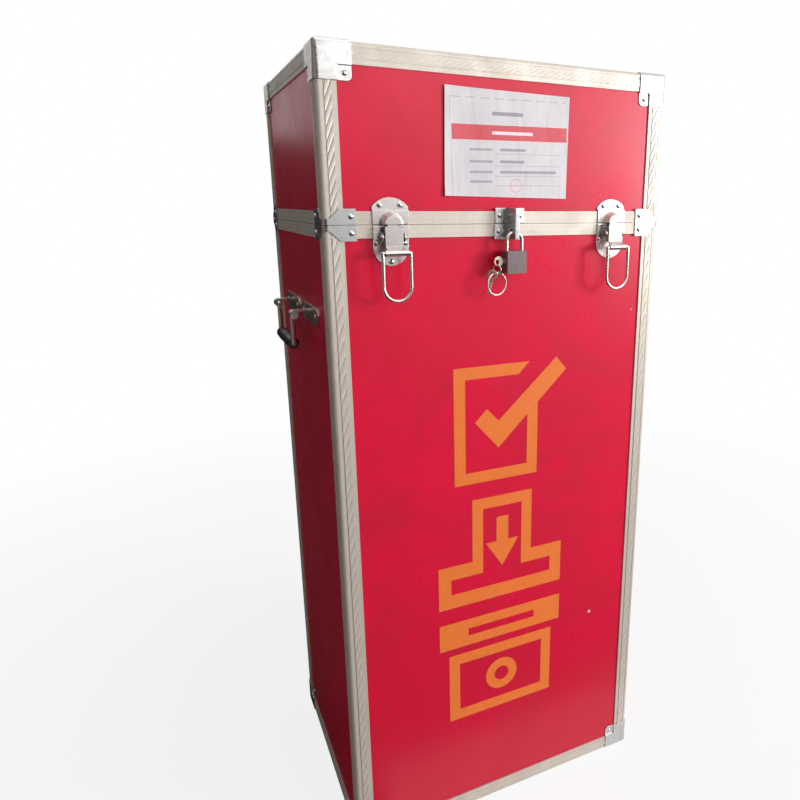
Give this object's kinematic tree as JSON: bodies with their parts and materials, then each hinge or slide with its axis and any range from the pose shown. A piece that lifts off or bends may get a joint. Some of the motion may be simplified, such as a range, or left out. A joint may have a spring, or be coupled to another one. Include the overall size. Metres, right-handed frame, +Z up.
{
  "type": "ballot box",
  "caption": "Tall red ballot box with a hinged slotted lid, metal edge frame, corner caps, spring latches, a padlocked hasp, keys on a ring and drop handles.",
  "frame": {"origin": "on the floor under the middle of the overall width and depth, in the plane of the lower corner caps", "axes": "+Z up, -Y towards the front with the latches and padlock, +X to the right seen from the front"},
  "size_m": [0.448, 0.3264, 0.92],
  "materials": {
    "red_laminate": "red laminate on thin board, satin",
    "frame_aluminium": "warm silver anodised extrusion",
    "plated_steel": "bright plated pressed steel, scuffed",
    "bright_wire": "bright plated wire",
    "spring_steel": "plain steel",
    "lock_paint": "dark hammered paint",
    "key_metal": "pale worn metal",
    "grip_black": "black gloss grip",
    "paper": "plain printed sheet in a clear film",
    "orange_vinyl": "orange cut film"
  },
  "bodies": {
    "box": {"panel_front": "red_laminate", "panel_back": "red_laminate", "panel_left": "red_laminate", "panel_right": "red_laminate", "panel_bottom": "red_laminate", "upright_front_left": "frame_aluminium", "upright_front_right": "frame_aluminium", "upright_back_left": "frame_aluminium", "upright_back_right": "frame_aluminium", "base_edges": "frame_aluminium", "body_rim": "frame_aluminium", "base_caps": "plated_steel", "body_brackets": "plated_steel", "body_rivets": "plated_steel", "latch_base_left": "plated_steel", "latch_pin_left": "spring_steel", "latch_spring_left": "spring_steel", "latch_base_right": "plated_steel", "latch_pin_right": "spring_steel", "latch_spring_right": "spring_steel", "hasp_body": "plated_steel", "handle_plates_left": "bright_wire", "handle_plates_right": "bright_wire", "hinge_body_leaves": "plated_steel", "hinge_pins": "plated_steel", "emblems": "orange_vinyl"},
    "lid": {"lid_front": "red_laminate", "lid_back": "red_laminate", "lid_left": "red_laminate", "lid_right": "red_laminate", "lid_top": "red_laminate", "lid_uprights": "frame_aluminium", "top_edges": "frame_aluminium", "lid_rim": "frame_aluminium", "top_caps": "plated_steel", "lid_brackets": "plated_steel", "lid_rivets": "plated_steel", "strike_left": "plated_steel", "strike_right": "plated_steel", "hasp_lid": "plated_steel", "hinge_lid_leaves": "plated_steel", "slot_trim": "plated_steel", "certificate": "paper"},
    "lever_left": {"latch_lever_left": "plated_steel"},
    "bail_left": {"latch_bail_left": "bright_wire"},
    "lever_right": {"latch_lever_right": "plated_steel"},
    "bail_right": {"latch_bail_right": "bright_wire"},
    "shackle": {"lock_shackle": "bright_wire"},
    "padlock": {"lock_body": "lock_paint"},
    "key": {"lock_plug": "key_metal", "lock_key": "key_metal"},
    "link": {"link_ring": "bright_wire"},
    "ring": {"key_ring": "bright_wire"},
    "spare": {"spare_key": "key_metal"},
    "handle_left": {"handle_bail_left": "bright_wire", "handle_grip_left": "grip_black"},
    "handle_right": {"handle_bail_right": "bright_wire", "handle_grip_right": "grip_black"}
  },
  "joints": [
    {"name": "lid_hinge", "type": "hinge", "parent": "box", "child": "lid", "pos_m": [0, 0.16025, 0.754], "axis": [-1, 0, 0], "range_deg": [0, 100]},
    {"name": "latch_lever_left", "type": "hinge", "parent": "box", "child": "lever_left", "pos_m": [-0.133, -0.14915, 0.742], "axis": [-1, 0, 0], "range_deg": [0, 9], "stiffness_Nm_per_rad": 0.03, "springref_deg": -17.19},
    {"name": "latch_ring_left", "type": "hinge", "parent": "lever_left", "child": "bail_left", "pos_m": [-0.133, -0.16015, 0.727], "axis": [-1, 0, 0], "range_deg": [-12, 100]},
    {"name": "latch_lever_right", "type": "hinge", "parent": "box", "child": "lever_right", "pos_m": [0.133, -0.14915, 0.742], "axis": [-1, 0, 0], "range_deg": [0, 9], "stiffness_Nm_per_rad": 0.03, "springref_deg": -17.19},
    {"name": "latch_ring_right", "type": "hinge", "parent": "lever_right", "child": "bail_right", "pos_m": [0.133, -0.16015, 0.727], "axis": [-1, 0, 0], "range_deg": [-12, 100]},
    {"name": "padlock_swing", "type": "hinge", "parent": "box", "child": "shackle", "pos_m": [0, -0.15515, 0.7455], "axis": [-1, 0, 0], "range_deg": [-5, 60]},
    {"name": "padlock_release", "type": "slide", "parent": "shackle", "child": "padlock", "axis": [0, 0, -1], "range_m": [0, 0.009]},
    {"name": "key_turn", "type": "hinge", "parent": "padlock", "child": "key", "pos_m": [-0.0115, -0.15515, 0.715], "axis": [-1, 0, 0], "range_deg": [0, 90]},
    {"name": "link_swing", "type": "hinge", "parent": "key", "child": "link", "pos_m": [-0.0205, -0.15515, 0.7125], "axis": [0, 1, 0], "range_deg": [-3, 25]},
    {"name": "key_ring_swing", "type": "hinge", "parent": "link", "child": "ring", "pos_m": [-0.0205, -0.15515, 0.70145], "axis": [-0.1736, 0.9848, 0], "range_deg": [-3, 25]},
    {"name": "spare_key_swing", "type": "hinge", "parent": "ring", "child": "spare", "pos_m": [-0.02605, -0.15613, 0.7019], "axis": [-0.8695, -0.1533, -0.4695], "range_deg": [-14, 0]},
    {"name": "handle_swing_left", "type": "hinge", "parent": "box", "child": "handle_left", "pos_m": [-0.217, 0.00685, 0.655], "axis": [0, 1, 0], "range_deg": [-12, 120]},
    {"name": "handle_swing_right", "type": "hinge", "parent": "box", "child": "handle_right", "pos_m": [0.217, 0.00685, 0.655], "axis": [0, -1, 0], "range_deg": [-12, 120]}
  ]
}
